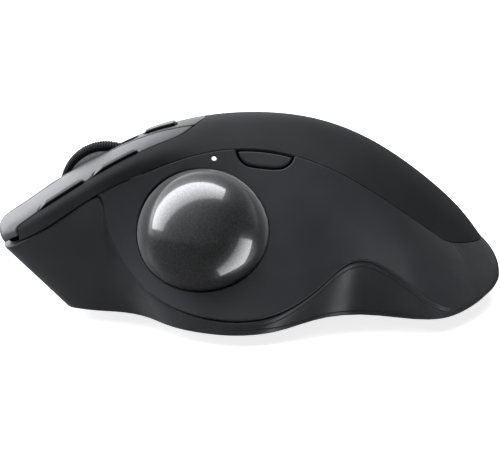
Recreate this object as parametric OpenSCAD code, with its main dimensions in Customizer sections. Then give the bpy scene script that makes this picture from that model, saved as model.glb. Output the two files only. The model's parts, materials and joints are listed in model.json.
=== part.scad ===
// Thumb-operated trackball mouse for the right hand. Millimetres, +Z up, +Y towards the keys,
// +X to the right. The origin is on the table, under the middle of the body.

/* [Trackball] */
// Diameter of the trackball
ball_d = 34; // [33.6:0.1:34.2]
// Free space between the ball and the opening in the thumb panel
ball_gap = 0.35; // [0.3:0.05:0.6]

/* [Shell] */
// Thickness of the outer shells
wall = 2; // [1.6:0.1:2.2]
// Gap around the keys
key_gap = 0.6; // [0.5:0.05:0.8]
// Thickness of the bottom
floor_t = 2; // [1.6:0.1:2.1]

/* [Scroll wheel] */
// Diameter of the scroll wheel
wheel_d = 24.4; // [23:0.1:24.6]
// Width of the tyre
wheel_w = 7; // [6:0.1:7.4]

/* [Tilting base] */
// Thickness of the steel base plate
plate_t = 1.6; // [1.2:0.1:1.6]
// Diameter of the base hinge pin
pin_d = 2; // [1.6:0.1:2.1]

/* [Hidden] */

// Outer surface of the top: rows run from the front lip to the heel, columns from the left seam,
// over the crest, to the right seam. The surface is the smooth B-spline of these points.
TOP = [
    [[-24,63.3,20.5], [-24.6,63.8,21], [-23,64.5,21.6], [-16,65.5,22], [-6,65.5,22],
        [9,63.4,19], [21.5,60.8,16], [27.5,59.2,14.5], [29.5,58.2,13]],
    [[-24.6,62.9,21], [-25.6,63.2,22.8], [-24.8,64.8,24.3], [-16,66.5,24.8], [-6,66.5,24.8],
        [9,63.4,22.2], [22,60.7,19.2], [28,59,16.6], [30.3,57.6,14]],
    [[-28.5,59.5,22.6], [-29.5,59.5,25], [-28,60,27.6], [-18,60.5,28.4], [-6,60,28.6],
        [10,58,25.8], [24.5,55.5,22.2], [32,54,18.5], [34.5,53,14]],
    [[-30.8,53,26], [-31.8,53,29], [-30,53,32], [-19,53,33.5], [-6,53,34],
        [10.5,51,30.8], [27,49,26.3], [36.5,47.5,20.5], [39.5,46.5,14]],
    [[-31.2,45.5,31.4], [-32,45,34], [-30.2,45,37], [-19,45,38.7], [-6,45,39.2],
        [11,43.5,36], [29.5,41.5,30.3], [40.5,40,22.5], [43.5,39,13.5]],
    [[-31,38,36.3], [-31.5,37,38.7], [-29.8,36.5,42], [-18.5,36,43.3], [-6,36,43.6],
        [11.5,35,41], [31.5,33,34.5], [43,32,24.5], [46,31.5,13]],
    [[-28,26,41], [-27.5,25.5,43], [-25,25.5,46.3], [-17.5,25,47.8], [-5,25,48.5],
        [12.5,24,46], [33.5,22.5,38], [45,22,26], [48,22,13]],
    [[-22.7,12.5,45.2], [-20.8,12.5,46.8], [-17.5,12.5,48.5], [-12.5,12,50.2], [-3,12,51.3],
        [14,11.5,49], [34.5,10.5,40.5], [46,10,27], [48.8,10,12.5]],
    [[-19.9,-3,46], [-18,-3,47.1], [-15,-3,48.8], [-10.5,-3,50.6], [-1.5,-3,52],
        [15,-3.5,49.7], [35,-4,41], [46,-4,27.5], [48.8,-4,12.5]],
    [[-21.6,-17.5,42.3], [-18.5,-18,44.3], [-15,-18,46.5], [-10,-18,48.7], [-1,-18,50.4],
        [15,-18.5,48], [33.5,-18.5,39], [44,-18.5,26], [47.2,-18.5,12.5]],
    [[-22.5,-30.5,35.6], [-18.5,-31.5,38], [-14.5,-32,40.5], [-9,-32.5,42.8], [0,-33,44.4],
        [14,-33,42.2], [30,-33,34], [40.5,-32.5,23.5], [44,-32,12.5]],
    [[-20.5,-40.5,28.2], [-16.5,-42.5,30], [-12,-44,31.9], [-6.5,-45.5,33.5], [2,-46.5,34.4],
        [13,-46.5,32.6], [25.5,-46,26.5], [35,-44.5,20], [39.5,-43,13]],
    [[-17,-46.5,23.5], [-12,-49.5,23.7], [-7.5,-52,24.6], [-2,-54.5,24.8], [6,-56.8,24.3],
        [14,-57.2,23], [23,-55.8,20.3], [30.5,-53,17.5], [35.5,-49.5,13.8]],
    [[-14,-50.5,20], [-10,-53.3,18.2], [-5.5,-56.3,17.2], [0,-59.5,16.3], [7,-62.4,15.4],
        [15,-62.8,14.8], [23,-60.5,15.3], [29.5,-57,14.8], [34,-52.5,14.3]]];

// Stations around the body, clockwise from above, from the front left corner of the thumb panel.
// Each is the rim's x, y, z, the foot's x, y, how far along the top's seam its rib starts, and
// how far the side bulges outward there.
RING = [
    [-31,38.2,36.6, -23.5,38, 5, 0], [-31,37.6,32, -23.8,36.5, 5.1, 0],
    [-31.8,36.8,27, -24.3,34.8, 5.25, 0], [-33.6,34.8,22.3, -25.3,32.3, 5.45, 0],
    [-36.5,31.5,16.8, -28,28.5, 5.65, 0], [-40.5,27.3,12.6, -33,24.7, 5.9, 0],
    [-44.5,22,9.7, -40.5,20.8, 6.25, 0], [-47.8,15,7.7, -46.8,14.5, 6.7, 0],
    [-49.5,7.5,6.6, -50.3,7, 7.2, 0], [-49.8,0,6.6, -50.3,0, 7.7, 0],
    [-48,-6.5,7.5, -47.5,-6, 8.15, 0], [-43.5,-13.5,10, -40.5,-11.5, 8.6, 0],
    [-38.3,-19.5,13.8, -33.5,-16.5, 9.05, 0], [-35,-24.5,18.4, -28.5,-22, 9.5, 0],
    [-34.3,-30,19.6, -26.7,-29, 9.95, 0], [-36,-37,16, -29.5,-36.5, 10.5, 0],
    [-38.3,-43.5,11.2, -33,-43, 11.1, 0.5], [-37,-49.3,6.5, -33.3,-48.8, 11.9, 1],
    [-31,-54.5,4.8, -28,-53.5, 12.8, 1.5], [-21,-59.5,5, -17.5,-58.5, 13.8, 1.5],
    [-10,-64.4,5.4, -6,-62.5, 15.2, 1.5], [3,-67.4,5.7, 6,-64.5, 16.7, 1.5],
    [16,-67.1,5.8, 17,-63.5, 18.2, 1.5], [28,-62.5,6, 27,-58.5, 19.6, 1.2],
    [37,-55,6.2, 34,-51, 20.8, 1], [44,-45,6.5, 38.3,-42, 22, 0.8],
    [48.5,-32,6.8, 40.2,-31, 23.7, 0.8], [50,-18,7, 40.5,-18, 24.9, 0.8],
    [50.5,-3,7, 40.5,-3, 26, 0.8], [50.5,12,7.2, 40.3,12, 27, 0.8],
    [49,25,7.6, 39,24, 28, 0.8], [45.5,37,8.2, 36,33.5, 29, 0.8],
    [41,46,9, 32,40, 30, 0.6], [36,53,10, 27.5,43.5, 31, 0.5],
    [31.5,57.5,11, 23.5,45.5, 32.5, 0.3], [29,58.8,11.5, 20,46.8, 34, 0],
    [21.5,59.6,14.2, 14,47.6, 35.5, 0], [9,62.2,17.2, 5,48, 36, 0],
    [-6,65,20.2, -5,48, 36, 0], [-16,65.4,20.3, -13,48.3, 36, 0],
    [-25,64.6,20.3, -19,47.4, 4, 0], [-28.5,59.5,22.4, -20.8,44.8, 4.3, 0],
    [-30.8,53,25.8, -22,42.5, 4.6, 0], [-31.2,45.5,31.2, -22.8,40.3, 4.8, 0]];
// Last station of the side band, and the station where the thumb panel meets the side panel
BAND_END = 35;
PANEL_END = 19;

// Outline of the base plate, as the points of a smooth closed curve
PLATE = [[-8,43], [-13,31], [-20,17], [-25,3], [-20,-9], [-9,-20], [-4.5,-32], [-8,-44], [-4,-54],
    [8,-58.5], [19,-57], [29,-51], [35,-41], [37.5,-28], [37.5,-8], [37.5,12], [36.5,25], [31,36],
    [22,42], [7,45]];
// Left and right limits of the front deck, where the keys lie, as row and column of the top
DECK_LEFT = [[1.86,1.5], [2.2,1.68], [2.75,1.86], [3.15,1.9], [4.3,1.97], [5.6,2.2], [6.4,2.45],
    [6.6,2.65], [6.75,3.1], [6.9,3.6], [7.02,4]];
KEY_LEFT = [[1.86,1.5], [2.2,1.68], [2.5,1.78], [2.62,2.36], [4.3,2.47], [5.74,2.75], [5.9,2.27],
    [6.4,2.45], [6.6,2.65], [6.75,3.1], [6.9,3.6], [7.02,4]];
DECK_RIGHT = [[1.86,7], [2.2,6.85], [3.5,6.6], [4.8,6.3], [5.78,6.02], [6.25,5.6], [6.65,5.1],
    [6.9,4.6], [7.02,4.05]];
// KEY_LEFT steps in where the two side buttons lie.
// The keys wrap around the nose as far back as this row, and down to this column
NOSE_END = 1.83;
NOSE_COLUMN = 0.45;
// Half-moon outline of the precision button, seen from the side, as y and z
MOON = [[4.2,47.4], [-12,45.8], [-11.4,42.8], [-10,41.3], [-7.6,40.4], [0,41.2], [2,42.2], [3.4,44]];
// Outline of the internal chassis
CHASSIS = [[-5,-50], [29,-50], [34,-40], [34,28], [24,40], [12,44], [-18,44], [-18,34], [-16,19],
    [-6,19], [-6,-40]];

foot_z = 2.6;
pad_t = 0.8;
floor_top = foot_z + floor_t;
panel_tilt = 30;
ball_r = ball_d / 2;
ball_at = [-31.5, 12.1, 24.9];
ring_out = 4;
opening_r = sqrt(ball_r * ball_r - ring_out * ring_out) + ball_gap;
socket_r = ball_r + 0.5;
socket_t = 1.5;
eject_r = 5;
bearing_r = 1.2;
bearing_turns = [60, 180, 300];
bearing_low = 35;
lens_r = 5;
led_at = [-23, 9.3, 43.3];
led_r = 0.6;

wheel_at = [-3.5, 38.1, 31.8];
wheel_r = wheel_d / 2;
rim_r = wheel_r - 1.9;
axle_r = 1.5;
axle_gap = 0.05;
tilt_z = 27;
spine_l = -10;
spine_r = 3;

hinge_x = 39.3;
hinge_z = 4.6;
pin_r = pin_d / 2;
pin_gap = 0.05;
notch_x = 35.8;
lug_y = [-18, 12];
lug_w = 6;
knuckle_y = [-11.5, 4];
knuckle_w = 7.5;

key_axis = [20, 42];
key_pin_r = 1;
key_eye_x = [-15.8, 4.7];
key_eye_w = 4.1;
switch_x = [-20, 10.6];
switch_z = [21.2, 17.6];

front_column = [[-15, 42], [11, 42]];
bridge_column = [[-12.8, 21.5], [8, 20]];
screw_at = [[-2, -46], [31, -26], [31, 26], [-11, 30]];

function weights(f) = [pow(1 - f, 3), 3*f*f*f - 6*f*f + 4, -3*f*f*f + 3*f*f + 3*f + 1, f*f*f] / 6;
function blend4(w, a, b, c, d) = w[0]*a + w[1]*b + w[2]*c + w[3]*d;
// Smooth open curve that starts and ends on its first and last points
function curve(p, t) =
    let(n = len(p), i = max(0, min(n - 2, floor(t))), a = i == 0 ? 2*p[0] - p[1] : p[i - 1],
        d = i == n - 2 ? 2*p[n - 1] - p[n - 2] : p[i + 2])
    blend4(weights(t - i), a, p[i], p[i + 1], d);
// Smooth closed curve
function loop(p, t) =
    let(n = len(p), i = floor(t), m = i + n)
    blend4(weights(t - i), p[(m - 1) % n], p[m % n], p[(m + 1) % n], p[(m + 2) % n]);
function steps(a, b, n) = [for (i = [0:n]) a + (b - a) * i / n];
function unit(v) = v / norm(v);

// Point on the top surface at row u and column v
function top_at(u, v) = curve([for (row = TOP) curve(row, v)], u);
// Point on the top's seam: down the left side, around the heel, and up the right side
function seam_at(u) =
    let(r = len(TOP) - 1, c = len(TOP[0]) - 1, k = max(0, min(2*r + c, u)))
    k <= r ? top_at(k, 0) : k <= r + c ? top_at(r, k - r) : top_at(2*r + c - k, c);
function rim_of(q) = [q[0], q[1], q[2]];
function foot_of(q) = [q[3], q[4], foot_z];
// Point on the side band at station s, from the seam at t = 0 to the rim at t = 1
function band_at(s, t) =
    let(q = loop(RING, s), a = seam_at(q[5]), b = rim_of(q), out = unit([b[0], b[1], 0.01]))
    a + (b - a)*t + out*q[6]*4*t*(1 - t);
// Point on the lower wall at station s, from the rim at t = 0 to the foot at t = 1
function skirt_at(s, t) = let(q = loop(RING, s)) rim_of(q)*(1 - t) + foot_of(q)*t;
// The way into the body from a point on its surface
function inward(p) = unit([6 - p[0], 0.6*p[1] - p[1], 14 - p[2]]);

// A plate whose outer face is a grid of points, and whose inner face lies inward of it. A ring
// joins its last row to its first.
module plate_of(grid, outer, inner, ring = false) {
    n = len(grid);
    m = len(grid[0]);
    spans = ring ? n - 1 : n - 2;
    ends = ring ? [] : [0:m - 2];
    points = [for (off = [outer, inner]) for (row = grid) for (p = row) p + inward(p)*off];
    function at(k, i, j) = k*n*m + (i % n)*m + j;
    quads = concat(
        [for (i = [0:spans]) for (j = [0:m - 2]) [at(0,i,j), at(0,i,j+1), at(0,i+1,j+1), at(0,i+1,j)]],
        [for (i = [0:spans]) for (j = [0:m - 2]) [at(1,i,j), at(1,i+1,j), at(1,i+1,j+1), at(1,i,j+1)]],
        [for (i = [0:spans]) [at(0,i,0), at(0,i+1,0), at(1,i+1,0), at(1,i,0)]],
        [for (i = [0:spans]) [at(0,i+1,m-1), at(0,i,m-1), at(1,i,m-1), at(1,i+1,m-1)]],
        [for (j = ends) [at(0,0,j+1), at(0,0,j), at(1,0,j), at(1,0,j+1)]],
        [for (j = ends) [at(0,n-1,j), at(0,n-1,j+1), at(1,n-1,j+1), at(1,n-1,j)]]);
    polyhedron(points, [for (q = quads) for (t = [[q[0],q[2],q[1]], [q[0],q[3],q[2]]]) t]);
}

// Part of the top surface, between rows u0 and u1 and columns v0 and v1
module top_slab(u0, u1, v0, v1, nu, nv, outer = 0, inner = wall) {
    plate_of([for (u = steps(u0, u1, nu)) [for (v = steps(v1, v0, nv)) top_at(u, v)]], outer, inner);
}

module along_panel(at = ball_at) {
    translate(at) rotate([0, -90 + panel_tilt, 0]) children();
}

module upright(at, r, z0, z1) {
    translate([at[0], at[1], z0]) cylinder(r = r, h = z1 - z0, $fn = 32);
}

module block(low, high) {
    translate(low) cube(high - low);
}

// Cylinder along X, centred on y and z, from x0 to x1
module rod_x(x0, x1, y, z, r) {
    translate([x0, y, z]) rotate([0, 90, 0]) cylinder(r = r, h = x1 - x0, $fn = 48);
}

// Cylinder along Y, centred on x and z, from y0 to y1
module rod_y(x, z, y0, y1, r) {
    translate([x, y0, z]) rotate([-90, 0, 0]) cylinder(r = r, h = y1 - y0, $fn = 48);
}

module plate_outline(gap) {
    offset(delta = -gap) polygon([for (t = steps(0, len(PLATE) - 0.5, 2*len(PLATE) - 1)) loop(PLATE, t)]);
}

// ---- Tilting base ----

module base_plate() {
    color("dimgray") translate([0, 0, pad_t]) linear_extrude(height = plate_t) plate_outline(0);
}

module hinge_lugs() {
    color("dimgray") difference() {
        for (y = lug_y) {
            block([notch_x + 0.4, y, pad_t + plate_t], [hinge_x + 1.3, y + lug_w, hinge_z]);
            rod_y(hinge_x, hinge_z, y, y + lug_w, pin_r + 1.2);
        }
        rod_y(hinge_x, hinge_z, lug_y[0] - 1, lug_y[1] + lug_w + 1, pin_r);
    }
}

module base_pad() {
    color("black") linear_extrude(height = pad_t) plate_outline(0.8);
}

module hinge_pin() {
    color("silver") rod_y(hinge_x, hinge_z, lug_y[0], lug_y[1] + lug_w, pin_r);
}

module hinge_knuckles() {
    color("gray") difference() {
        for (y = knuckle_y) {
            rod_y(hinge_x, hinge_z, y, y + knuckle_w, pin_r + 1);
            block([34.2, y, floor_top], [hinge_x, y + knuckle_w, floor_top + 1.6]);
        }
        rod_y(hinge_x, hinge_z, lug_y[0], lug_y[1] + lug_w, pin_r + pin_gap);
    }
}

// ---- Shells ----

module skirt() {
    last = len(RING);
    plate_of([for (i = [0:65]) [for (t = [0.03, 0.5, 1]) skirt_at(last*i/66, t)]], 0, wall, true);
}

module hinge_notch() {
    block([notch_x, -19, 1], [42.2, 19, hinge_z + 2.8]);
}

module bottom_plate() {
    last = len(RING);
    color([0.2, 0.2, 0.21]) difference() {
        translate([0, 0, foot_z]) linear_extrude(height = floor_t)
            polygon([for (i = [0:65]) let(f = skirt_at(last*i/66, 1), p = f + inward(f)) [p[0], p[1]]]);
        skirt();
        hinge_notch();
        upright([ball_at[0], ball_at[1]], eject_r, 1, 9);
        block([-12.6, -41.2, 1], [-7.4, -30.8, 6]);
        for (p = screw_at) {
            upright(p, 1.3, 1, 6);
            upright(p, 2.6, 1, foot_z + 1);
        }
    }
}

module lower_case() {
    color([0.2, 0.2, 0.21]) difference() {
        skirt();
        hinge_notch();
        block([5.1, 40, 8], [14.9, 70, 12]);
    }
}

module thumb_panel() {
    color([0.25, 0.25, 0.26]) difference() {
        plate_of([for (s = steps(0.1, PANEL_END - 0.05, 38)) [for (t = [0.02, 0.25, 0.5, 0.75, 0.97])
            band_at(s, t)]], 0, wall);
        along_panel() cylinder(r = opening_r, h = 30, $fn = 96);
        translate(ball_at) sphere(r = ball_r + ball_gap, $fn = 96);
        translate([-60, 0, 0]) rotate([90, 0, 90]) linear_extrude(height = 50) polygon(MOON);
        led_bore();
    }
}

module led_bore() {
    along_panel(led_at) translate([0, 0, -6]) cylinder(r = led_r + 0.05, h = 9, $fn = 24);
}

module side_panel() {
    color([0.2, 0.2, 0.21]) plate_of([for (s = steps(PANEL_END + 0.05, BAND_END, 26))
        [for (t = [0.04, 0.5, 0.96]) band_at(s, t)]], 0, wall);
}

module palm_cover() {
    color([0.16, 0.16, 0.17]) difference() {
        top_slab(NOSE_END + 0.07, len(TOP) - 1, 0, 8, 28, 16);
        deck_slab(1.2, 7.05, -0.1, DECK_LEFT, -3, 5);
        led_bore();
    }
}

// The front deck, which the keys and the spine are cut from. The gap is in columns of the top.
module deck_slab(first = 0, last = 6.9, gap = 0.07, left = DECK_LEFT, outer = 0, inner = wall) {
    nose = gap < 0 ? -0.3 : NOSE_COLUMN;
    rows = concat(steps(first, NOSE_END - 0.3*gap, 5), steps(NOSE_END + 0.03 + 0.3*gap, last, 22));
    plate_of([for (u = rows) let(front = u < NOSE_END + 0.01,
            a = front ? nose : lookup(u, left) + gap,
            b = front ? 8 - nose : max(a + 0.2, lookup(u, DECK_RIGHT) - gap))
        [for (v = steps(b, a, 14)) top_at(u, v)]], outer, inner);
}

module top_spine() {
    color([0.12, 0.12, 0.13]) difference() {
        intersection() {
            deck_slab();
            block([spine_l, 0, 0], [spine_r, 80, 80]);
        }
        block([wheel_at[0] - wheel_w/2 - 1.4, 29.5, 0], [wheel_at[0] + wheel_w/2 + 1.4, 51.5, 80]);
        block([wheel_at[0] - 3.6, 19.1, 0], [wheel_at[0] + 3.6, 28, 80]);
    }
}

module left_button() {
    color([0.45, 0.45, 0.46]) intersection() {
        deck_slab(left = KEY_LEFT);
        block([-60, 0, 0], [spine_l - key_gap, 80, 80]);
    }
}

module right_button() {
    color([0.45, 0.45, 0.46]) intersection() {
        deck_slab();
        block([spine_r + key_gap, 0, 0], [60, 80, 80]);
    }
}

// Hinge eye of a key, its rib up to the shell, and the stud that presses the switch
module key_arm(x, rib_top, stud, low, high) {
    color("dimgray") difference() {
        union() {
            rod_x(x, x + key_eye_w, key_axis[0], key_axis[1], key_pin_r + 1.3);
            block([x, key_axis[0] - 1.2, key_axis[1]], [x + key_eye_w, key_axis[0] + 1.2, rib_top]);
            upright(stud, 1.4, low, high);
        }
        rod_x(x - 1, x + key_eye_w + 1, key_axis[0], key_axis[1], key_pin_r + 0.05);
    }
}

module left_key_arm() {
    key_arm(key_eye_x[0], 46.6, [-17.1, 50.5], switch_z[0] + 7.4, 33.8);
}

module right_key_arm() {
    key_arm(key_eye_x[1], 45.2, [13.5, 50.5], switch_z[1] + 7.4, 28.4);
}

module key_pins() {
    color("silver") for (x = key_eye_x)
        rod_x(x - 1.7, x + key_eye_w + 1.7, key_axis[0], key_axis[1], key_pin_r);
}

module key_bridge() {
    color("dimgray") difference() {
        union() {
            block([-17.5, 17.5, 36.8], [10.5, 22.5, 38.4]);
            for (x = key_eye_x) for (e = [x - 1.7, x + key_eye_w + 0.2]) {
                block([e, key_axis[0] - 2, 38.4], [e + 1.5, key_axis[0] + 2, key_axis[1]]);
                rod_x(e, e + 1.5, key_axis[0], key_axis[1], 2);
            }
        }
        rod_x(-20, 20, key_axis[0], key_axis[1], key_pin_r);
    }
}

module side_bar(u0, u1) {
    color([0.1, 0.1, 0.11]) plate_of([for (u = steps(u0, u1, 8)) let(a = lookup(u, DECK_LEFT) + 0.08)
        [for (v = steps(a + 0.34, a, 2)) top_at(u, v)]], -0.8, wall - 0.2);
}

module back_button() {
    side_bar(4.5, 5.66);
}

module forward_button() {
    side_bar(2.76, 4.24);
}

module mode_button() {
    color([0.08, 0.08, 0.09]) intersection() {
        top_slab(5.4, 7.5, 2.5, 5, 6, 4, -0.8, wall);
        block([wheel_at[0] - 3.2, 19.5, 0], [wheel_at[0] + 3.2, 27.6, 80]);
    }
}

module precision_button() {
    color([0.17, 0.17, 0.18]) intersection() {
        plate_of([for (s = steps(6, 13, 14)) [for (t = [0.01, 0.25, 0.5]) band_at(s, t)]], 0, wall);
        translate([-60, 0, 0]) rotate([90, 0, 90]) linear_extrude(height = 50)
            offset(delta = -0.55) polygon(MOON);
    }
}

module status_led() {
    color("white") along_panel(led_at) translate([0, 0, -3.5]) cylinder(r = led_r, h = 3.2, $fn = 24);
}

// ---- Trackball ----

module trackball() {
    color([0.6, 0.6, 0.62]) translate(ball_at) sphere(r = ball_r, $fn = 96);
}

module bearing_spots() {
    for (a = bearing_turns) rotate([0, 0, a]) rotate([0, 90 + bearing_low, 0])
        translate([0, 0, ball_r + bearing_r + 0.06]) children();
}

module ball_socket() {
    low = 68;
    high = -4;
    arc_in = [for (a = steps(high, -low, 14)) socket_r * [cos(a), sin(a)]];
    arc_out = [for (a = steps(-low, high, 14)) (socket_r + socket_t) * [cos(a), sin(a)]];
    color([0.1, 0.1, 0.1]) difference() {
        along_panel() rotate_extrude($fn = 72) polygon(concat(arc_in, arc_out));
        upright([ball_at[0], ball_at[1]], eject_r, 0, ball_at[2]);
        along_panel() bearing_spots() translate([0, 0, -2]) cylinder(r = bearing_r + 0.05, h = 4, $fn = 32);
    }
}

module socket_bearings() {
    color("white") along_panel() bearing_spots() sphere(r = bearing_r, $fn = 32);
}

module sensor_lens() {
    color([0.7, 0.75, 0.8]) along_panel() translate([0, 0, -ball_r - 3.6])
        cylinder(r = lens_r, h = 2.6, $fn = 48);
}

module sensor_board() {
    color("darkgreen") along_panel() translate([-7, -7, -ball_r - 4.8]) cube([14, 14, 1.2]);
    color("black") along_panel() translate([-4, -5, -ball_r - 7]) cube([8, 10, 2.2]);
}

// ---- Scroll wheel ----

module wheel_tyre() {
    color([0.1, 0.1, 0.1]) translate(wheel_at) rotate([0, 90, 0]) rotate_extrude($fn = 96)
        polygon([[rim_r, -wheel_w/2], [wheel_r - 0.8, -wheel_w/2], [wheel_r, -wheel_w/2 + 1],
            [wheel_r, wheel_w/2 - 1], [wheel_r - 0.8, wheel_w/2], [rim_r, wheel_w/2]]);
}

module wheel_rim() {
    half = wheel_w/2 - 0.1;
    color("silver") translate(wheel_at) rotate([0, 90, 0]) rotate_extrude($fn = 96)
        polygon([[axle_r, -half + 0.6], [4, -half + 0.6], [5, -half + 1.4], [rim_r - 1.4, -half + 1.4],
            [rim_r - 0.8, -half], [rim_r, -half], [rim_r, half], [rim_r - 0.8, half],
            [rim_r - 1.4, half - 1.4], [5, half - 1.4], [4, half - 0.6], [axle_r, half - 0.6]]);
}

module wheel_axle() {
    color("gray") rod_x(-10.4, 6.4, wheel_at[1], wheel_at[2], axle_r);
}

module wheel_yoke() {
    x0 = wheel_at[0] - 6.1;
    x1 = wheel_at[0] + 6.1;
    y0 = wheel_at[1] - 14.6;
    y1 = wheel_at[1] + 14.6;
    color([0.25, 0.25, 0.25]) difference() {
        union() {
            difference() {
                block([x0, y0, tilt_z - 1.8], [x1, y1, tilt_z + 1.6]);
                block([x0 + 1.8, y0 + 1.6, 20], [x1 - 1.8, y1 - 1.6, 40]);
            }
            for (x = [x0, x1 - 1.8]) block([x, 34, tilt_z], [x + 1.8, 42.2, 35.4]);
            rod_y(wheel_at[0], tilt_z, y0 - 2, y0, 1.2);
            rod_y(wheel_at[0], tilt_z, y1, y1 + 1.7, 1.2);
        }
        rod_x(x0 - 1, x1 + 1, wheel_at[1], wheel_at[2], axle_r + axle_gap);
    }
}

module wheel_carriage() {
    y0 = wheel_at[1] - 17;
    y1 = wheel_at[1] + 16.4;
    color([0.3, 0.3, 0.3]) difference() {
        union() {
            block([-8, y0, 16], [1, y1, 18]);
            block([-8, y0, 18], [1, y0 + 2, tilt_z + 2]);
            block([-5.6, y1 - 1.5, 18], [-1.4, y1, tilt_z + 1.5]);
        }
        rod_y(wheel_at[0], tilt_z, y0 - 1, y1 + 1, 1.25);
    }
}

module wheel_encoder() {
    color("darkslategray") difference() {
        block([2.7, 34.5, 28.2], [6.9, 41.7, 34]);
        rod_x(2, 8, wheel_at[1], wheel_at[2], axle_r + axle_gap);
    }
}

module wheel_spring() {
    color("silver") difference() {
        upright([wheel_at[0], wheel_at[1]], 3, 6, 15);
        upright([wheel_at[0], wheel_at[1]], 2.2, 5, 16);
    }
}

// ---- Inside ----

module chassis() {
    color([0.15, 0.15, 0.15]) difference() {
        union() {
            translate([0, 0, floor_top]) linear_extrude(height = 1.4) polygon(CHASSIS);
            for (i = [0, 1]) upright(front_column[i], 2, 5, switch_z[i] - 1.2);
            for (p = bridge_column) upright(p, 1.8, 5, 36.8);
            for (p = screw_at) upright(p, 2.4, 5, 12);
            for (p = [[2, -24], [25, -24], [2, 36], [22, 34]]) upright(p, 2, 5, 7.2);
        }
        for (p = screw_at) upright(p, 1, 3, 11);
    }
}

module main_board() {
    color("darkgreen") difference() {
        union() {
            block([0, -28, 7.2], [27.4, 38.5, 8.4]);
            block([3, 38, 7.2], [18, 49, 8.4]);
        }
        upright(bridge_column[1], 2.4, 6, 10);
        upright(front_column[1], 2.6, 6, 10);
    }
    color("black") block([6, -6, 8.4], [14, 2, 9.4]);
    color("black") block([16, 8, 8.4], [22, 14, 9.4]);
}

module switch_boards() {
    color("darkgreen") for (i = [0, 1])
        block([switch_x[i] - 2, 39.5, switch_z[i] - 1.2], [switch_x[i] + 8.4, 53.5, switch_z[i]]);
}

module key_switches() {
    color("black") for (i = [0, 1]) {
        block([switch_x[i], 40.6, switch_z[i]], [switch_x[i] + 5.8, 52.6, switch_z[i] + 6.5]);
        upright([switch_x[i] + 2.9, 50.5], 0.9, switch_z[i] + 6.5, switch_z[i] + 6.85);
    }
}

module side_board() {
    translate([-24.5, 42, 33]) rotate([-27, 0, 0]) {
        color("darkgreen") translate([-3, -12, -0.5]) cube([6, 24, 1]);
        color("black") for (y = [-9, 3]) translate([-2.5, y, 0.5]) cube([3.5, 6, 1.8]);
    }
}

module battery() {
    color("lightslategray") block([3, -48, 6.2], [28, -30, 12.2]);
}

module usb_port() {
    color("silver") difference() {
        union() {
            for (x = [7.1, 12.9]) rod_y(x, 10, 46, 53, 1.6);
            block([7.1, 46, 8.4], [12.9, 53, 11.6]);
        }
        for (x = [7.1, 12.9]) rod_y(x, 10, 47, 54, 1.3);
        block([7.1, 47, 8.7], [12.9, 54, 11.3]);
    }
    color("black") block([7.4, 47, 9.65], [12.6, 52, 10.35]);
}

module power_slider() {
    color("darkred") block([-12.2, -40.8, 3], [-7.8, -35.6, 4.9]);
    color("darkred") block([-13.6, -42.4, 4.9], [-6.4, -34, 5.7]);
}

module case_magnets() {
    color("silver") for (p = [[-12, -12], [-12, 0]]) upright(p, 4, floor_top, 6.2);
}

module case_screws() {
    color("silver") for (p = screw_at) {
        upright(p, 2.2, foot_z + 0.2, foot_z + 1.4 - 0.4);
        upright(p, 1, foot_z + 1, 10.6);
    }
}

base_plate();
hinge_lugs();
base_pad();
hinge_pin();
hinge_knuckles();
bottom_plate();
lower_case();
thumb_panel();
side_panel();
palm_cover();
top_spine();
left_button();
left_key_arm();
right_button();
right_key_arm();
key_pins();
key_bridge();
back_button();
forward_button();
mode_button();
precision_button();
status_led();
trackball();
ball_socket();
socket_bearings();
sensor_lens();
sensor_board();
wheel_tyre();
wheel_rim();
wheel_axle();
wheel_yoke();
wheel_carriage();
wheel_encoder();
wheel_spring();
chassis();
main_board();
switch_boards();
key_switches();
side_board();
battery();
usb_port();
power_slider();
case_magnets();
case_screws();
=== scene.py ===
"""Looks of the thumb trackball mouse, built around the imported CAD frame. Lengths are millimetres
until a mesh is made, and metres in Blender."""
import json
import math

import bmesh
import bpy
import numpy as np
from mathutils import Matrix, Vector


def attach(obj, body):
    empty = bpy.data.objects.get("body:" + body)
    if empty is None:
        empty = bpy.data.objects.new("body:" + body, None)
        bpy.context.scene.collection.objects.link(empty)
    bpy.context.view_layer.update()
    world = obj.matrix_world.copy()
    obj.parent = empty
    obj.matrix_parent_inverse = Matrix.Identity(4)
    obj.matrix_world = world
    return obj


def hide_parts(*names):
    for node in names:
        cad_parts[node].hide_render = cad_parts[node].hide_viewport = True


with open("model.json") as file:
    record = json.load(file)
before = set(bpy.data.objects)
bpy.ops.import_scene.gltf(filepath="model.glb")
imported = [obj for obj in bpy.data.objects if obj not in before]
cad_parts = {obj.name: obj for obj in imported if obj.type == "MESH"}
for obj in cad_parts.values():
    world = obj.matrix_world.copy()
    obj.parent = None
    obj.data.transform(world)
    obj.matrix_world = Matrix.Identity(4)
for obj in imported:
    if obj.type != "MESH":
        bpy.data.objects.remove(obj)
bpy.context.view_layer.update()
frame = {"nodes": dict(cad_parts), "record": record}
MM = 0.001

# ---- Camera, lights and floor ----

ELEVATION = math.radians(12)
AIM = Vector((0, 0, 20.8)) * MM
DISTANCE = 0.9


def add_camera():
    data = bpy.data.cameras.new("camera")
    data.sensor_width = 36
    data.lens = 243
    data.clip_start = 0.05
    camera = bpy.data.objects.new("camera", data)
    bpy.context.scene.collection.objects.link(camera)
    back = Vector((-math.cos(ELEVATION), 0, math.sin(ELEVATION)))
    camera.location = AIM + back * DISTANCE
    camera.rotation_euler = (AIM - camera.location).to_track_quat("-Z", "Y").to_euler()
    bpy.context.scene.camera = camera


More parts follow.
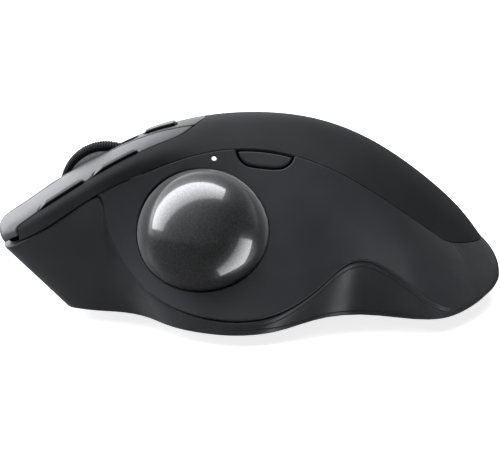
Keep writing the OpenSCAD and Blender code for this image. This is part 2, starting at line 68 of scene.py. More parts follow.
def add_fill():
    """Large weak overhead panel that softens the shadow on the floor."""
    data = bpy.data.lights.new("overhead_panel", "AREA")
    data.size = 1.2
    data.energy = 1.0
    light = bpy.data.objects.new("overhead_panel", data)
    bpy.context.scene.collection.objects.link(light)
    light.location = (0, 0.1, 1.4)
    light.visible_glossy = False


# Soft boxes of the studio: turn about the view from image right, angle off the view, half spread
# along and across as tangents, strength at the far edge, and strength at the near edge
BOXES = [(118, 84, 1.5, 0.44, 5.6, 1.8), (-36, 80, 0.62, 0.34, 4.2, 1.0)]


def add_world():
    world = bpy.data.worlds.new("studio")
    bpy.context.scene.world = world
    world.use_nodes = True
    nodes = world.node_tree.nodes
    links = world.node_tree.links
    nodes.clear()

    def math_node(kind, one, two=0.0):
        node = nodes.new("ShaderNodeMath")
        node.operation = kind
        for socket, value in zip(node.inputs, (one, two)):
            if isinstance(value, (int, float)):
                socket.default_value = value
            else:
                links.new(value, socket)
        return node.outputs[0]

    def dot(direction):
        node = nodes.new("ShaderNodeVectorMath")
        node.operation = "DOT_PRODUCT"
        links.new(way, node.inputs[0])
        node.inputs[1].default_value = direction
        return node.outputs["Value"]

    def ease(value, low, high, start=0.0, end=1.0):
        node = nodes.new("ShaderNodeMapRange")
        node.interpolation_type = "SMOOTHSTEP"
        node.inputs["From Min"].default_value = low
        node.inputs["From Max"].default_value = high
        node.inputs["To Min"].default_value = start
        node.inputs["To Max"].default_value = end
        links.new(value, node.inputs["Value"])
        return node.outputs[0]

    way = nodes.new("ShaderNodeTexCoord").outputs["Generated"]
    behind = dot((1, 0, 0))
    height = dot((0, 0, 1))
    left = dot((0, 1, 0))
    # Bright backdrop low behind the object, grey overhead, dark towards the camera
    backdrop = math_node("MULTIPLY", ease(behind, 0.0, 0.75), ease(height, 0.22, 0.62, 2.8, 0.18))
    backdrop = math_node("MULTIPLY", backdrop, ease(left, -0.25, 0.4, 0.1, 1.0))
    glow = math_node("MULTIPLY", ease(height, 0.1, 0.9, 0.12, 0.2), ease(left, -1.0, 0.8, 0.3, 1.5))
    total = math_node("ADD", backdrop, glow)
    total = math_node("MULTIPLY", total, ease(height, -0.1, 0.03, 0.12, 1.0))
    toward = Vector((-math.cos(ELEVATION), 0, math.sin(ELEVATION)))
    up = Vector((math.sin(ELEVATION), 0, math.cos(ELEVATION)))
    right = Vector((0, -1, 0))
    for turn, off, along, across, far, near in BOXES:
        turn, off = math.radians(turn), math.radians(off)
        radial = right * math.cos(turn) + up * math.sin(turn)
        middle = toward * math.cos(off) + radial * math.sin(off)
        outward = radial * math.cos(off) - toward * math.sin(off)
        side = middle.cross(outward)
        facing = dot(middle)
        front = math_node("GREATER_THAN", facing, 0.05)
        a = math_node("ABSOLUTE", math_node("DIVIDE", dot(side), facing))
        b = math_node("DIVIDE", dot(outward), facing)
        within_length = ease(a, along - 0.06, along, 1.0, 0.0)
        within_width = ease(b, across - 0.03, across, 1.0, 0.0)
        inside = math_node("MULTIPLY", within_length, within_width)
        inside = math_node("MULTIPLY", inside, ease(b, -across, -across + 0.12))
        box = math_node("MULTIPLY", inside, ease(b, -across, across, near, far))
        total = math_node("ADD", total, math_node("MULTIPLY", box, front))
    dome = nodes.new("ShaderNodeBackground")
    dome.inputs["Color"].default_value = (0.97, 0.98, 1.0, 1)
    links.new(total, dome.inputs["Strength"])
    plain = nodes.new("ShaderNodeBackground")
    plain.inputs["Color"].default_value = (1, 1, 1, 1)
    path = nodes.new("ShaderNodeLightPath")
    mix = nodes.new("ShaderNodeMixShader")
    out = nodes.new("ShaderNodeOutputWorld")
    links.new(path.outputs["Is Camera Ray"], mix.inputs["Fac"])
    links.new(dome.outputs[0], mix.inputs[1])
    links.new(plain.outputs[0], mix.inputs[2])
    links.new(mix.outputs[0], out.inputs["Surface"])


def add_floor():
    mesh = bpy.data.meshes.new("floor")
    size = 3.0
    corners = [(-size, -size, 0), (size, -size, 0), (size, size, 0), (-size, size, 0)]
    mesh.from_pydata(corners, [], [(0, 1, 2, 3)])
    floor = bpy.data.objects.new("floor", mesh)
    bpy.context.scene.collection.objects.link(floor)
    floor.location.z = -0.0002
    floor.visible_glossy = False
    floor.data.materials.append(paper("studio_floor"))


def paper(name):
    material, shader, nodes, links = new_material(name)
    noise = noise_node(nodes, links, 60, 3)
    ramp = ramp_node(nodes, links, noise, (0.80, 0.80, 0.805), (0.84, 0.84, 0.845))
    links.new(ramp, shader.inputs["Base Color"])
    shader.inputs["Roughness"].default_value = 0.9
    shader.inputs["Specular IOR Level"].default_value = 0.1
    shader.inputs["Emission Color"].default_value = (1, 1, 1, 1)
    shader.inputs["Emission Strength"].default_value = 0.8
    return material


# ---- Materials ----

def new_material(name):
    material = bpy.data.materials.new(name)
    material.use_nodes = True
    nodes = material.node_tree.nodes
    links = material.node_tree.links
    shader = nodes["Principled BSDF"]
    return material, shader, nodes, links


def object_coords(nodes):
    for node in nodes:
        if node.bl_idname == "ShaderNodeTexCoord":
            return node.outputs["Object"]
    return nodes.new("ShaderNodeTexCoord").outputs["Object"]


def noise_node(nodes, links, scale, detail=4.0, rough=0.55):
    noise = nodes.new("ShaderNodeTexNoise")
    noise.inputs["Scale"].default_value = scale
    noise.inputs["Detail"].default_value = detail
    noise.inputs["Roughness"].default_value = rough
    links.new(object_coords(nodes), noise.inputs["Vector"])
    return noise.outputs["Fac"]


def ramp_node(nodes, links, value, low, high, start=0.35, end=0.65):
    ramp = nodes.new("ShaderNodeValToRGB")
    ramp.color_ramp.elements[0].position = start
    ramp.color_ramp.elements[0].color = (*low, 1)
    ramp.color_ramp.elements[1].position = end
    ramp.color_ramp.elements[1].color = (*high, 1)
    links.new(value, ramp.inputs["Fac"])
    return ramp.outputs["Color"]


def range_node(nodes, links, value, low, high):
    node = nodes.new("ShaderNodeMapRange")
    node.inputs["From Min"].default_value = 0.3
    node.inputs["From Max"].default_value = 0.7
    node.inputs["To Min"].default_value = low
    node.inputs["To Max"].default_value = high
    links.new(value, node.inputs["Value"])
    return node.outputs[0]


def add_bump(nodes, links, shader, height, strength, distance):
    bump = nodes.new("ShaderNodeBump")
    bump.inputs["Strength"].default_value = strength
    bump.inputs["Distance"].default_value = distance
    links.new(height, bump.inputs["Height"])
    links.new(bump.outputs["Normal"], shader.inputs["Normal"])


def grey(value, tint=0.18):
    """A neutral tone with a slight cold cast."""
    return (value, value * (1 + tint / 6), value * (1 + tint))


def moulded(name, tone, rough, grain=2600, bump=0.18, spec=0.5, smudge=0.06, coat=0.0):
    """Moulded plastic: a fine spark-eroded grain, faint handling smudges and slight tone drift."""
    material, shader, nodes, links = new_material(name)
    drift = noise_node(nodes, links, 70, 5)
    tones = ramp_node(nodes, links, drift, grey(tone * 0.88), grey(tone * 1.12))
    links.new(tones, shader.inputs["Base Color"])
    smear = noise_node(nodes, links, 150, 6, 0.65)
    links.new(range_node(nodes, links, smear, rough - smudge, rough + smudge), shader.inputs["Roughness"])
    grit = noise_node(nodes, links, grain, 2, 0.6)
    add_bump(nodes, links, shader, grit, bump, 0.00004)
    shader.inputs["Specular IOR Level"].default_value = spec
    shader.inputs["Coat Weight"].default_value = coat
    shader.inputs["Coat Roughness"].default_value = 0.12
    return material


def soft_touch(name, tone):
    """Rubber skin: very fine stipple, broad highlight, and faint random patches of polish."""
    material, shader, nodes, links = new_material(name)
    drift = noise_node(nodes, links, 45, 5)
    tones = ramp_node(nodes, links, drift, grey(tone * 0.85), grey(tone * 1.2))
    links.new(tones, shader.inputs["Base Color"])
    worn = noise_node(nodes, links, 28, 3)
    links.new(range_node(nodes, links, worn, 0.60, 0.70), shader.inputs["Roughness"])
    stipple = nodes.new("ShaderNodeTexVoronoi")
    stipple.inputs["Scale"].default_value = 2400
    links.new(object_coords(nodes), stipple.inputs["Vector"])
    add_bump(nodes, links, shader, stipple.outputs["Distance"], 0.25, 0.00004)
    shader.inputs["Specular IOR Level"].default_value = 0.16
    return material


def pearl(name):
    """Polished ball: grey with fine embedded sparkle under a clear coat."""
    material, shader, nodes, links = new_material(name)
    cells = nodes.new("ShaderNodeTexVoronoi")
    cells.inputs["Scale"].default_value = 5200
    links.new(object_coords(nodes), cells.inputs["Vector"])
    split = nodes.new("ShaderNodeSeparateColor")
    links.new(cells.outputs["Color"], split.inputs[0])
    flakes = ramp_node(nodes, links, split.outputs[0], grey(0.085, 0.04), grey(0.15, 0.04), 0.2, 1.0)
    links.new(flakes, shader.inputs["Base Color"])
    metal = range_node(nodes, links, split.outputs[1], 0.82, 0.92)
    links.new(metal, shader.inputs["Metallic"])
    links.new(range_node(nodes, links, split.outputs[2], 0.29, 0.35), shader.inputs["Roughness"])
    wave = noise_node(nodes, links, 900, 2)
    add_bump(nodes, links, shader, wave, 0.05, 0.00002)
    shader.inputs["Coat Weight"].default_value = 1.0
    shader.inputs["Coat Roughness"].default_value = 0.04
    shader.inputs["Coat IOR"].default_value = 1.75
    shader.inputs["Sheen Weight"].default_value = 0.45
    shader.inputs["Sheen Roughness"].default_value = 0.35
    return material


def bare_metal(name, tone, rough, stretch=(1, 1, 1), grain=1800, bump=0.1, metal=1.0):
    """Turned or brushed metal: directional fine scratches in roughness and bump."""
    material, shader, nodes, links = new_material(name)
    mapping = nodes.new("ShaderNodeMapping")
    mapping.inputs["Scale"].default_value = stretch
    links.new(object_coords(nodes), mapping.inputs["Vector"])
    noise = nodes.new("ShaderNodeTexNoise")
    noise.inputs["Scale"].default_value = grain
    noise.inputs["Detail"].default_value = 3
    links.new(mapping.outputs[0], noise.inputs["Vector"])
    value = noise.outputs["Fac"]
    tones = ramp_node(nodes, links, value, grey(tone * 0.9, 0.04), grey(tone * 1.08, 0.04))
    links.new(tones, shader.inputs["Base Color"])
    links.new(range_node(nodes, links, value, rough * 0.8, rough * 1.25), shader.inputs["Roughness"])
    shader.inputs["Metallic"].default_value = metal
    add_bump(nodes, links, shader, value, bump, 0.00003)
    return material


def circuit(name):
    """Solder mask over copper tracks."""
    material, shader, nodes, links = new_material(name)
    brick = nodes.new("ShaderNodeTexBrick")
    brick.inputs["Scale"].default_value = 260
    brick.inputs["Color1"].default_value = (0.01, 0.09, 0.035, 1)
    brick.inputs["Color2"].default_value = (0.012, 0.13, 0.05, 1)
    brick.inputs["Mortar"].default_value = (0.02, 0.2, 0.08, 1)
    links.new(object_coords(nodes), brick.inputs["Vector"])
    links.new(brick.outputs["Color"], shader.inputs["Base Color"])
    links.new(range_node(nodes, links, noise_node(nodes, links, 500), 0.25, 0.4), shader.inputs["Roughness"])
    add_bump(nodes, links, shader, brick.outputs["Fac"], 0.3, 0.00003)
    return material


def glowing(name):
    """Lit white light pipe, with a faint random haze in its tone."""
    material, shader, nodes, links = new_material(name)
    haze = noise_node(nodes, links, 1200, 2)
    tones = ramp_node(nodes, links, haze, (0.85, 0.87, 0.9), (0.95, 0.97, 1.0))
    links.new(tones, shader.inputs["Base Color"])
    shader.inputs["Roughness"].default_value = 0.3
    shader.inputs["Emission Color"].default_value = (0.95, 0.98, 1.0, 1)
    shader.inputs["Emission Strength"].default_value = 1.6
    return material


def clear(name):
    material, shader, nodes, links = new_material(name)
    haze = noise_node(nodes, links, 300, 3)
    tones = ramp_node(nodes, links, haze, (0.75, 0.8, 0.84), (0.85, 0.9, 0.93))
    links.new(tones, shader.inputs["Base Color"])
    links.new(range_node(nodes, links, haze, 0.03, 0.1), shader.inputs["Roughness"])
    shader.inputs["Transmission Weight"].default_value = 0.8
    shader.inputs["IOR"].default_value = 1.49
    return material


def wrap(name):
    material, shader, nodes, links = new_material(name)
    crease = noise_node(nodes, links, 220, 6, 0.7)
    tones = ramp_node(nodes, links, crease, (0.18, 0.2, 0.24), (0.28, 0.31, 0.36))
    links.new(tones, shader.inputs["Base Color"])
    links.new(range_node(nodes, links, crease, 0.25, 0.45), shader.inputs["Roughness"])
    shader.inputs["Metallic"].default_value = 0.6
    add_bump(nodes, links, shader, crease, 0.4, 0.0001)
    return material


MATERIALS = {
    "steel_plate": moulded("steel_plate", 0.03, 0.5, grain=1500, bump=0.3),
    "pad_rubber": soft_touch("pad_rubber", 0.012),
    "steel": bare_metal("steel", 0.55, 0.25, (1, 0.05, 1)),
    "case_plastic": moulded("case_plastic", 0.022, 0.42, spec=0.4),
    "panel_plastic": moulded("panel_plastic", 0.026, 0.44, grain=2200, bump=0.22, spec=0.4),
    "palm_rubber": soft_touch("palm_rubber", 0.017),
    "spine_plastic": moulded("spine_plastic", 0.014, 0.38),
    "key_plastic": moulded("key_plastic", 0.055, 0.4, grain=3000, bump=0.14, spec=0.6, smudge=0.02),
    "gloss_black": moulded("gloss_black", 0.004, 0.3, bump=0.05, spec=0.3),
    "inner_plastic": moulded("inner_plastic", 0.02, 0.55),
    "led_white": glowing("led_white"),
    "ball_pearl": pearl("ball_pearl"),
    "ceramic": moulded("ceramic", 0.75, 0.15, bump=0.02),
    "clear_lens": clear("clear_lens"),
    "circuit_board": circuit("circuit_board"),
    "wheel_rubber": moulded("wheel_rubber", 0.0035, 0.6, grain=1800, bump=0.3, spec=0.12),
    "rim_metal": bare_metal("rim_metal", 0.9, 0.3, (0.2, 1, 1), 5000, 0.01, 0.3),
    "battery_wrap": wrap("battery_wrap"),
    "slider_plastic": moulded("slider_plastic", 0.015, 0.3),
    "magnet_nickel": bare_metal("magnet_nickel", 0.6, 0.18),
}

# ---- The body's surfaces, the same ones that the CAD is built on ----

TOP = np.array([
    [[-24,63.3,20.5], [-24.6,63.8,21], [-23,64.5,21.6], [-16,65.5,22], [-6,65.5,22],
        [9,63.4,19], [21.5,60.8,16], [27.5,59.2,14.5], [29.5,58.2,13]],
    [[-24.6,62.9,21], [-25.6,63.2,22.8], [-24.8,64.8,24.3], [-16,66.5,24.8], [-6,66.5,24.8],
        [9,63.4,22.2], [22,60.7,19.2], [28,59,16.6], [30.3,57.6,14]],
    [[-28.5,59.5,22.6], [-29.5,59.5,25], [-28,60,27.6], [-18,60.5,28.4], [-6,60,28.6],
        [10,58,25.8], [24.5,55.5,22.2], [32,54,18.5], [34.5,53,14]],
    [[-30.8,53,26], [-31.8,53,29], [-30,53,32], [-19,53,33.5], [-6,53,34],
        [10.5,51,30.8], [27,49,26.3], [36.5,47.5,20.5], [39.5,46.5,14]],
    [[-31.2,45.5,31.4], [-32,45,34], [-30.2,45,37], [-19,45,38.7], [-6,45,39.2],
        [11,43.5,36], [29.5,41.5,30.3], [40.5,40,22.5], [43.5,39,13.5]],
    [[-31,38,36.3], [-31.5,37,38.7], [-29.8,36.5,42], [-18.5,36,43.3], [-6,36,43.6],
        [11.5,35,41], [31.5,33,34.5], [43,32,24.5], [46,31.5,13]],
    [[-28,26,41], [-27.5,25.5,43], [-25,25.5,46.3], [-17.5,25,47.8], [-5,25,48.5],
        [12.5,24,46], [33.5,22.5,38], [45,22,26], [48,22,13]],
    [[-22.7,12.5,45.2], [-20.8,12.5,46.8], [-17.5,12.5,48.5], [-12.5,12,50.2], [-3,12,51.3],
        [14,11.5,49], [34.5,10.5,40.5], [46,10,27], [48.8,10,12.5]],
    [[-19.9,-3,46], [-18,-3,47.1], [-15,-3,48.8], [-10.5,-3,50.6], [-1.5,-3,52],
        [15,-3.5,49.7], [35,-4,41], [46,-4,27.5], [48.8,-4,12.5]],
    [[-21.6,-17.5,42.3], [-18.5,-18,44.3], [-15,-18,46.5], [-10,-18,48.7], [-1,-18,50.4],
        [15,-18.5,48], [33.5,-18.5,39], [44,-18.5,26], [47.2,-18.5,12.5]],
    [[-22.5,-30.5,35.6], [-18.5,-31.5,38], [-14.5,-32,40.5], [-9,-32.5,42.8], [0,-33,44.4],
        [14,-33,42.2], [30,-33,34], [40.5,-32.5,23.5], [44,-32,12.5]],
    [[-20.5,-40.5,28.2], [-16.5,-42.5,30], [-12,-44,31.9], [-6.5,-45.5,33.5], [2,-46.5,34.4],
        [13,-46.5,32.6], [25.5,-46,26.5], [35,-44.5,20], [39.5,-43,13]],
    [[-17,-46.5,23.5], [-12,-49.5,23.7], [-7.5,-52,24.6], [-2,-54.5,24.8], [6,-56.8,24.3],
        [14,-57.2,23], [23,-55.8,20.3], [30.5,-53,17.5], [35.5,-49.5,13.8]],
    [[-14,-50.5,20], [-10,-53.3,18.2], [-5.5,-56.3,17.2], [0,-59.5,16.3], [7,-62.4,15.4],
        [15,-62.8,14.8], [23,-60.5,15.3], [29.5,-57,14.8], [34,-52.5,14.3]]], float)
RING = np.array([
    [-31,38.2,36.6, -23.5,38, 5, 0], [-31,37.6,32, -23.8,36.5, 5.1, 0],
    [-31.8,36.8,27, -24.3,34.8, 5.25, 0], [-33.6,34.8,22.3, -25.3,32.3, 5.45, 0],
    [-36.5,31.5,16.8, -28,28.5, 5.65, 0], [-40.5,27.3,12.6, -33,24.7, 5.9, 0],
    [-44.5,22,9.7, -40.5,20.8, 6.25, 0], [-47.8,15,7.7, -46.8,14.5, 6.7, 0],
    [-49.5,7.5,6.6, -50.3,7, 7.2, 0], [-49.8,0,6.6, -50.3,0, 7.7, 0],
    [-48,-6.5,7.5, -47.5,-6, 8.15, 0], [-43.5,-13.5,10, -40.5,-11.5, 8.6, 0],
    [-38.3,-19.5,13.8, -33.5,-16.5, 9.05, 0], [-35,-24.5,18.4, -28.5,-22, 9.5, 0],
    [-34.3,-30,19.6, -26.7,-29, 9.95, 0], [-36,-37,16, -29.5,-36.5, 10.5, 0],
    [-38.3,-43.5,11.2, -33,-43, 11.1, 0.5], [-37,-49.3,6.5, -33.3,-48.8, 11.9, 1],
    [-31,-54.5,4.8, -28,-53.5, 12.8, 1.5], [-21,-59.5,5, -17.5,-58.5, 13.8, 1.5],
    [-10,-64.4,5.4, -6,-62.5, 15.2, 1.5], [3,-67.4,5.7, 6,-64.5, 16.7, 1.5],
    [16,-67.1,5.8, 17,-63.5, 18.2, 1.5], [28,-62.5,6, 27,-58.5, 19.6, 1.2],
    [37,-55,6.2, 34,-51, 20.8, 1], [44,-45,6.5, 38.3,-42, 22, 0.8],
    [48.5,-32,6.8, 40.2,-31, 23.7, 0.8], [50,-18,7, 40.5,-18, 24.9, 0.8],
    [50.5,-3,7, 40.5,-3, 26, 0.8], [50.5,12,7.2, 40.3,12, 27, 0.8],
    [49,25,7.6, 39,24, 28, 0.8], [45.5,37,8.2, 36,33.5, 29, 0.8],
    [41,46,9, 32,40, 30, 0.6], [36,53,10, 27.5,43.5, 31, 0.5],
    [31.5,57.5,11, 23.5,45.5, 32.5, 0.3], [29,58.8,11.5, 20,46.8, 34, 0],
    [21.5,59.6,14.2, 14,47.6, 35.5, 0], [9,62.2,17.2, 5,48, 36, 0],
    [-6,65,20.2, -5,48, 36, 0], [-16,65.4,20.3, -13,48.3, 36, 0],
    [-25,64.6,20.3, -19,47.4, 4, 0], [-28.5,59.5,22.4, -20.8,44.8, 4.3, 0],
    [-30.8,53,25.8, -22,42.5, 4.6, 0], [-31.2,45.5,31.2, -22.8,40.3, 4.8, 0]], float)
BAND_END = 35
PANEL_END = 19
FOOT_Z = 2.6
WALL = 2.0
BALL = np.array([-31.5, 12.1, 24.9])
BALL_R = 17.0
RING_OUT = 4.0
OPENING_R = math.sqrt(BALL_R ** 2 - RING_OUT ** 2) + 0.35
FACING = np.array([-math.cos(math.radians(30)), 0, math.sin(math.radians(30))])
# Limits of the front deck: rows and columns of the top where the keys end
DECK_LEFT = np.array([[1.86,1.5], [2.2,1.68], [2.75,1.86], [3.15,1.9], [4.3,1.97], [5.6,2.2], [6.1,2.33],
    [6.4,2.45], [6.6,2.65], [6.75,3.1], [6.9,3.6], [7.02,4]])
DECK_RIGHT = np.array([[7.02,4.05], [6.9,4.6], [6.65,5.1], [6.25,5.6], [5.78,6.02], [4.8,6.3], [3.5,6.6],
    [2.2,6.85], [1.86,7]])
NOSE_COLUMN = 0.45
MOON = np.array([[4.2,47.4], [-12,45.8], [-11.4,42.8], [-10,41.3], [-7.6,40.4], [0,41.2], [2,42.2], [3.4,44]])
LED = np.array([-23, 9.3, 43.3])
WHEEL = np.array([-3.5, 38.1, 31.8])
WHEEL_R = 12.2
WHEEL_W = 7.0
RIBS = 104
RIB_DEPTH = 0.28
SPINE = (-10.0, 3.0)
KEY_GAP = 0.55
LED_HOLE_R = 0.55
# How far the small buttons stand proud, and the thickness of the caps, thinner than the shells so
# that each clears what lies behind it when pressed
PROUD = 0.75
KEY_THICK = 1.6
BAR_THICK = 1.3
MOON_THICK = 1.2


def weights(f):
    """Weights of a cubic B-spline's four points, at the fraction f of a step."""
    parts = [(1 - f) ** 3, 3 * f ** 3 - 6 * f ** 2 + 4, -3 * f ** 3 + 3 * f ** 2 + 3 * f + 1, f ** 3]
    return np.stack(parts, -1) / 6


def extended(p):
    return np.concatenate([[2 * p[0] - p[1]], p, [2 * p[-1] - p[-2]]])


TOP_EXT = extended(extended(TOP).transpose(1, 0, 2)).transpose(1, 0, 2)


def top_at(u, v):
    """Points of the top surface at rows u and columns v."""
    u, v = np.broadcast_arrays(np.asarray(u, float), np.asarray(v, float))
    i = np.clip(np.floor(u).astype(int), 0, len(TOP) - 2)
    j = np.clip(np.floor(v).astype(int), 0, TOP.shape[1] - 2)
    a, b = weights(u - i), weights(v - j)
    total = 0
    for m in range(4):
        for n in range(4):
            total = total + (a[..., m] * b[..., n])[..., None] * TOP_EXT[i + m, j + n]
    return total


def seam_at(k):
    """Points along the top's seam: down the left, around the heel, and up the right."""
    rows, cols = len(TOP) - 1, TOP.shape[1] - 1
    k = np.clip(k, 0, 2 * rows + cols)
    left, heel = k <= rows, (k > rows) & (k <= rows + cols)
    u = np.where(left, k, np.where(heel, rows, 2 * rows + cols - k))
    v = np.where(left, 0, np.where(heel, k - rows, cols))
    return top_at(u, v)


def ring_at(s):
    i = np.floor(s).astype(int)
    w, n = weights(s - i), len(RING)
    return sum(w[..., m, None] * RING[(i + m - 1) % n] for m in range(4))


def band_at(s, t):
    """Points of the side band, from the seam at t = 0 to the rim at t = 1."""
    s, t = np.broadcast_arrays(np.asarray(s, float), np.asarray(t, float))
    q = ring_at(s)
    a, b = seam_at(q[..., 5]), q[..., :3]
    out = b * [1, 1, 0]
    out = out / np.linalg.norm(out, axis=-1, keepdims=True)
    bulge = (q[..., 6] * 4 * t * (1 - t))[..., None]
    return a + (b - a) * t[..., None] + out * bulge


def skirt_at(s, t):
    """Points of the lower wall, from the rim at t = 0 to the foot at t = 1."""
    s, t = np.broadcast_arrays(np.asarray(s, float), np.asarray(t, float))
    q = ring_at(s)
    a = q[..., :3]
    b = np.stack([q[..., 3], q[..., 4], np.full(s.shape, FOOT_Z)], -1)
    return a + (b - a) * t[..., None]


def normals_of(surface, p, q, flip):
    """Outward normals, from small steps along both parameters."""
    step = 1e-3
    du = surface(p + step, q) - surface(p - step, q)
    dv = surface(p, q + step) - surface(p, q - step)
    n = np.cross(du, dv) * flip
    return n / np.maximum(np.linalg.norm(n, axis=-1, keepdims=True), 1e-12)


# ---- Meshing ----

def spaced(first, last, count, *spots):
    """Even steps from first to last, with finer steps of the given size around each spot."""
    parts = [np.linspace(first, last, count + 1)]
    for low, high, step in spots:
        parts.append(np.arange(low, high, step))
    values = np.unique(np.round(np.concatenate(parts), 5))
    values = values[(values >= first) & (values <= last)]
    keep = np.concatenate([[True], np.diff(values) > 0.3 * (last - first) / count / 4])
    return values[keep]


def grid(a, b, ring):
    """Triangles over the rows a and columns b. A ring joins its last row to its first."""
    n, m = len(a) - 1, len(b) - 1
    p, q = np.meshgrid(a[:-1] if ring else a, b, indexing="ij")
    i, j = np.meshgrid(np.arange(n), np.arange(m), indexing="ij")
    i, j = i.ravel(), j.ravel()
    k = i * (m + 1) + j
    o = (i + 1) % (n if ring else n + 1) * (m + 1) + j
    quads = np.stack([k, k + 1, o + 1, o], -1)
    return np.stack([p.ravel(), q.ravel()], -1), np.concatenate([quads[:, [0, 1, 2]], quads[:, [0, 2, 3]]])


def split_along(points, tris, level, period):
    """Cuts triangles where the third column of points is level, so that the line becomes edges."""
    f = points[:, 2] - level
    f[np.abs(f) < 1e-4] = 1e-4
    up = f > 0
    count = up[tris].sum(1)
    whole = tris[(count == 0) | (count == 3)]
    mixed = tris[(count == 1) | (count == 2)]
    if not len(mixed):
        return points, tris
    lone_up = up[mixed].sum(1) == 1
    turn = np.argmax(up[mixed] == lone_up[:, None], 1)
    rows = np.arange(len(mixed))
    a, b, c = (mixed[rows, (turn + k) % 3] for k in range(3))
    size = len(points)

    def key(p, q):
        return np.minimum(p, q).astype(np.int64) * size + np.maximum(p, q)

    keys, place = np.unique(np.concatenate([key(a, b), key(a, c)]), return_inverse=True)
    low, high = keys // size, keys % size
    share = (f[low] / (f[low] - f[high]))[:, None]
    start, end = points[low], points[high].copy()
    if period:
        end[:, 0] -= period * np.round((end[:, 0] - start[:, 0]) / period)
    added = start + (end - start) * share
    added[:, 2] = level
    place = place.ravel()
    p, q = size + place[:len(a)], size + place[len(a):]
    parts = np.concatenate([whole, np.stack([a, p, q], -1), np.stack([p, b, c], -1), np.stack([p, c, q], -1)])
    return np.concatenate([points, added]), parts


def keep_above(points, tris, level):
    tris = tris[points[:, 2][tris].mean(1) > level]
    used, tris = np.unique(tris, return_inverse=True)
    return points[used], tris.reshape(-1, 3)


def line_distance(p, line):
    """Distance from each point to a polyline, exact near it and rough far from it."""
    some = line[::8]
    best = np.full(len(p), 1e9)
    for start in range(0, len(p), 20000):
        q = p[start:start + 20000]
        best[start:start + 20000] = np.sqrt(((q[:, None] - some) ** 2).sum(-1).min(1))
    near = np.flatnonzero(best < 9 * np.linalg.norm(np.diff(line, axis=0), axis=1).max() + 3)
    a, d = line[:-1], np.diff(line, axis=0)
    length = np.maximum((d * d).sum(1), 1e-12)
    for start in range(0, len(near), 4000):
        part = near[start:start + 4000]
        q = p[part]
        t = np.clip(((q[:, None] - a) * d).sum(-1) / length, 0, 1)
        best[part] = np.sqrt(((q[:, None] - a - t[..., None] * d) ** 2).sum(-1).min(1))
    return best


def inside_outline(p, outline):
    """Whether points lie inside a closed outline, both in two dimensions."""
    x, y = p[:, 0], p[:, 1]
    result = np.zeros(len(p), bool)
    for (x0, y0), (x1, y1) in zip(outline, np.roll(outline, -1, 0)):
        crosses = (y0 > y) != (y1 > y)
        with np.errstate(divide="ignore", invalid="ignore"):
            result ^= crosses & (x < (x1 - x0) * (y - y0) / (y1 - y0) + x0)
    return result


def rounded(outline, passes=3):
    """The closed outline with its corners cut round."""
    p = np.asarray(outline, float)
    for _ in range(passes):
        q = np.roll(p, -1, 0)
        p = np.stack([0.75 * p + 0.25 * q, 0.25 * p + 0.75 * q], 1).reshape(-1, p.shape[1])
    return p


def dense(outline, step):
    """The closed outline with points no further apart than step, closed on itself."""
    out = []
    for a, b in zip(outline, np.roll(outline, -1, 0)):
        n = max(1, int(np.ceil(np.linalg.norm(b - a) / step)))
        out += [a + (b - a) * k / n for k in range(n)]
    return np.array(out + [outline[0]])


FILLET_STEPS = (0.0, 0.10, 0.30, 0.60, 1.0)


def object_from(name, verts, faces, slot, smooth_angle=40):
    mesh = bpy.data.meshes.new(name)
    mesh.from_pydata((np.asarray(verts) * MM).tolist(), [], [list(map(int, f)) for f in faces])
    mesh.validate()
    mesh.polygons.foreach_set("use_smooth", [True] * len(mesh.polygons))
    mesh.set_sharp_from_angle(angle=math.radians(smooth_angle))
    mesh.update()
    piece = bpy.data.objects.new(name, mesh)
    bpy.context.scene.collection.objects.link(piece)
    mesh.materials.append(MATERIALS[slot])
    return piece


def shell(name, surface, rows, columns, field, slot, body, flip=1, gap=0.1, fillet=0.35, thick=WALL,
          lift=None, more=(), ring=False, clear_of_ball=False):
    """A closed shell piece: the part of a surface where field, the distance in from its edge, is above
    gap, with its outer edge rounded. lift moves the outer face along its normal, and more lists
    further distances at which the mesh gets an edge line."""
    points, tris = grid(rows, columns, ring)
    period = rows[-1] if ring else 0
    points = np.column_stack([points, field(points, surface(points[:, 0], points[:, 1]))])
    points, tris = split_along(points, tris, gap, period)
    points, tris = keep_above(points, tris, gap)
    for step in FILLET_STEPS[1:]:
        points, tris = split_along(points, tris, gap + fillet * step, period)
    for level in more:
        points, tris = split_along(points, tris, level, period)
    if flip > 0:
        tris = tris[:, ::-1]
    at = surface(points[:, 0], points[:, 1])
    normal = normals_of(surface, points[:, 0], points[:, 1], flip)
    depth = np.clip(points[:, 2] - gap, 0, fillet)
    drop = fillet - np.sqrt(np.maximum(fillet ** 2 - (fillet - depth) ** 2, 0))
    outer = at - normal * drop[:, None]
    if lift is not None:
        outer = outer + normal * lift(points)[:, None]
    inner = at - normal * thick
    if clear_of_ball:
        away = inner - BALL
        far = np.linalg.norm(away, axis=-1, keepdims=True)
        inner = BALL + away * np.maximum(1, (BALL_R + 0.3) / far)
    n = len(points)
    edges = np.concatenate([tris[:, [0, 1]], tris[:, [1, 2]], tris[:, [2, 0]]])
    code = edges[:, 0].astype(np.int64) * n + edges[:, 1]
    back = edges[:, 1].astype(np.int64) * n + edges[:, 0]
    rim = edges[~np.isin(code, back)]
    sides = np.stack([rim[:, 1], rim[:, 0], rim[:, 0] + n, rim[:, 1] + n], -1)
    faces = tris.tolist() + (tris[:, ::-1] + n).tolist() + sides.tolist()
    piece = object_from(name, np.concatenate([outer, inner]), faces, slot)
    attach(piece, body)
    return piece


# ---- Distances that bound the shell pieces ----

